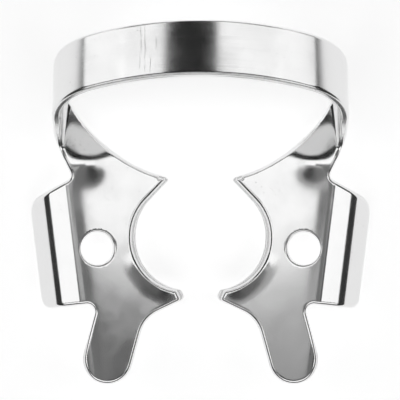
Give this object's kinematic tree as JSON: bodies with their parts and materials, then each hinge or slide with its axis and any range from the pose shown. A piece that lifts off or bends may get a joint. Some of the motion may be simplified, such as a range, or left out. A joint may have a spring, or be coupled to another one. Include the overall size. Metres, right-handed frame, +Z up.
{
  "type": "rubber dam clamp",
  "caption": "Winged rubber dam clamp folded from spring steel sheet: arched bow, sloping jaws with forceps holes around a tooth opening, folded wings and rounded front tongues.",
  "frame": {"origin": "middle of the bounding box, on the surface that the clamp lies on", "axes": "+X across the jaws, +Y back towards the bow, +Z up"},
  "size_m": [0.0268, 0.0288, 0.0107],
  "materials": {
    "steel": "polished"
  },
  "bodies": {
    "root": {"clamp": "steel"}
  },
  "joints": []
}
